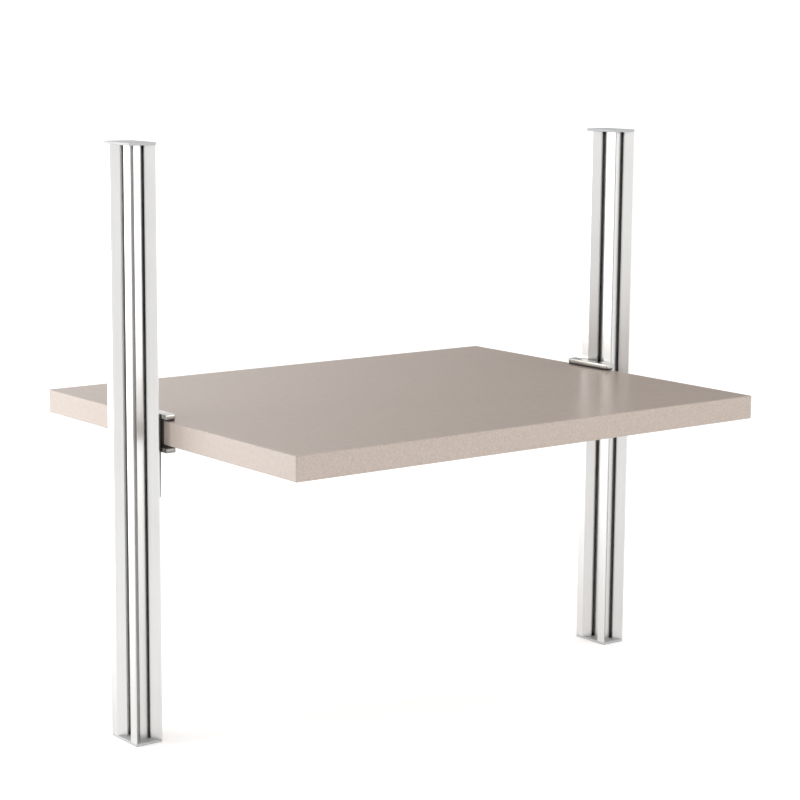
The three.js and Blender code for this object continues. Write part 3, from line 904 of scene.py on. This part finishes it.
def make_plate():
    plate = make_block("right_plate", plate_low, plate_high)
    add_cut_line(plate, Z, LOWER_JAW_BOTTOM)
    pick(plate, "FACE", lambda x, y, z: near(z, plate_low[Z]))
    share = PLATE_HALF_TAIL / plate_high[Y]
    bpy.ops.transform.resize(value=(1.0, share, 1.0), center_override=CLAMP_ZERO * MM)
    bpy.ops.object.mode_set(mode="OBJECT")
    round_corners(plate, lambda x, y, z: near(z, plate_low[Z]), X, PLATE_TAIL_CORNER)
    round_corners(plate, lambda x, y, z: near(z, plate_high[Z]), X, PLATE_TOP_CORNER)
    join_flat_faces(plate)
    soften_edges(plate, PLATE_EDGE)
    hole_profile = ((plate_low[X] - OVERCUT, SLOT_RADIUS), (plate_high[X] + OVERCUT, SLOT_RADIUS))
    screw_hole = turn_piece("screw_hole", HOLE_SIDES, jaw_screw_height, hole_profile)
    cut_out(plate, screw_hole, *make_countersinks())
    return finish_piece(plate, black_steel)


plate = make_plate()

# %% [markdown]
# ### Jaw screw and washer
#
# Both are turned on a lathe. They could be cylinders with bevelled rims. Here a disc is pulled out along
# its axis and resized from step to step, which follows the turned profile. The head is a button, flat on
# top, with a hexagon socket. Its under side sits on the washer, and its shank is plain, because the
# thread is hidden in the slot nut.

# %% Jaw screw
screw_low, screw_high = clamp_box("jaw_screw")
washer_low, washer_high = clamp_box("jaw_washer")
SCREW_RADIUS, SCREW_CHAMFER = 3.0, 0.5
SCREW_SIDES, SOCKET_SIDES, DOME_STEPS = 48, 6, 10
SOCKET_HALF_WIDTH, SOCKET_DEPTH = 2.0, 2.0
SOCKET_RADIUS = SOCKET_HALF_WIDTH / math.cos(math.pi / SOCKET_SIDES)


def make_jaw_screw():
    tip, head_top, head_under = screw_high[X], screw_low[X], washer_low[X]
    head_radius = screw_high[Y]
    flat_radius = head_radius / 2
    profile = [
        (tip, SCREW_RADIUS - SCREW_CHAMFER),
        (tip - SCREW_CHAMFER, SCREW_RADIUS),
        (head_under, SCREW_RADIUS),
    ]
    for step in range(DOME_STEPS + 1):
        angle = math.pi / 2 * step / DOME_STEPS
        radius = flat_radius + (head_radius - flat_radius) * math.cos(angle)
        profile.append((head_under - (head_under - head_top) * math.sin(angle), radius))
    screw = turn_piece("right_clamp_screw", SCREW_SIDES, jaw_screw_height, profile)
    socket_profile = ((head_top - OVERCUT, SOCKET_RADIUS), (head_top + SOCKET_DEPTH, SOCKET_RADIUS))
    cut_out(screw, turn_piece("socket", SOCKET_SIDES, jaw_screw_height, socket_profile))
    return finish_piece(screw, zinc)


clamp_screw = make_jaw_screw()

# %% Washer
WASHER_SIDES = 56
WASHER_EDGE = 0.15


def make_washer():
    front, back, radius = washer_low[X], washer_high[X], washer_high[Y]
    profile = (
        (back, radius - WASHER_EDGE),
        (back - WASHER_EDGE, radius),
        (front + WASHER_EDGE, radius),
        (front, radius - WASHER_EDGE),
    )
    washer = turn_piece("right_clamp_washer", WASHER_SIDES, jaw_screw_height, profile)
    hole_profile = ((front - OVERCUT, SLOT_RADIUS), (back + OVERCUT, SLOT_RADIUS))
    cut_out(washer, turn_piece("washer_hole", HOLE_SIDES, jaw_screw_height, hole_profile))
    return finish_piece(washer, zinc)


clamp_washer = make_washer()

# %% [markdown]
# ### The left clamp
#
# The left clamp is the mirror image of the right one. It could be modelled again, but mirrored copies
# can't drift apart from the first. So each piece is copied with a mesh of its own and mirrored, and its
# faces are turned outwards again. Then every piece takes its CAD piece's place and body.

# %% Mirror and hand over


def mirror_copy(piece):
    copy = piece.copy()
    copy.data = piece.data.copy()
    copy.name = copy.data.name = piece.name.replace("right_", "left_")
    bpy.context.scene.collection.objects.link(copy)
    select_only(copy)
    copy.scale = (-1.0, 1.0, 1.0)
    bpy.ops.object.transform_apply(location=True, rotation=True, scale=True)
    bpy.ops.object.mode_set(mode="EDIT")
    bpy.ops.mesh.select_all(action="SELECT")
    bpy.ops.mesh.normals_make_consistent(inside=False)
    bpy.ops.object.mode_set(mode="OBJECT")
    return copy


CLAMP_PIECES = (
    (jaw_top, "upper_jaw", "clamp", "satin_metal"),
    (jaw_bottom, "lower_jaw", "lower_jaw", "satin_metal"),
    (rubber_top, "upper_liner", "clamp", "black_rubber"),
    (rubber_bottom, "lower_pad", "lower_jaw", "black_rubber"),
    (plate, "back_plate", "clamp", "black_steel"),
    (clamp_screw, "jaw_screw", "jaw_screw", "zinc_steel"),
    (clamp_washer, "jaw_washer", "clamp", "zinc_steel"),
)
for right_piece, node, body, slot in CLAMP_PIECES:
    for end, piece in (("right", right_piece), ("left", mirror_copy(right_piece))):
        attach(piece, f"{end}_{body}")
        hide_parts(f"{end}_{node}")
print("clamp pieces in place:", 2 * len(CLAMP_PIECES))
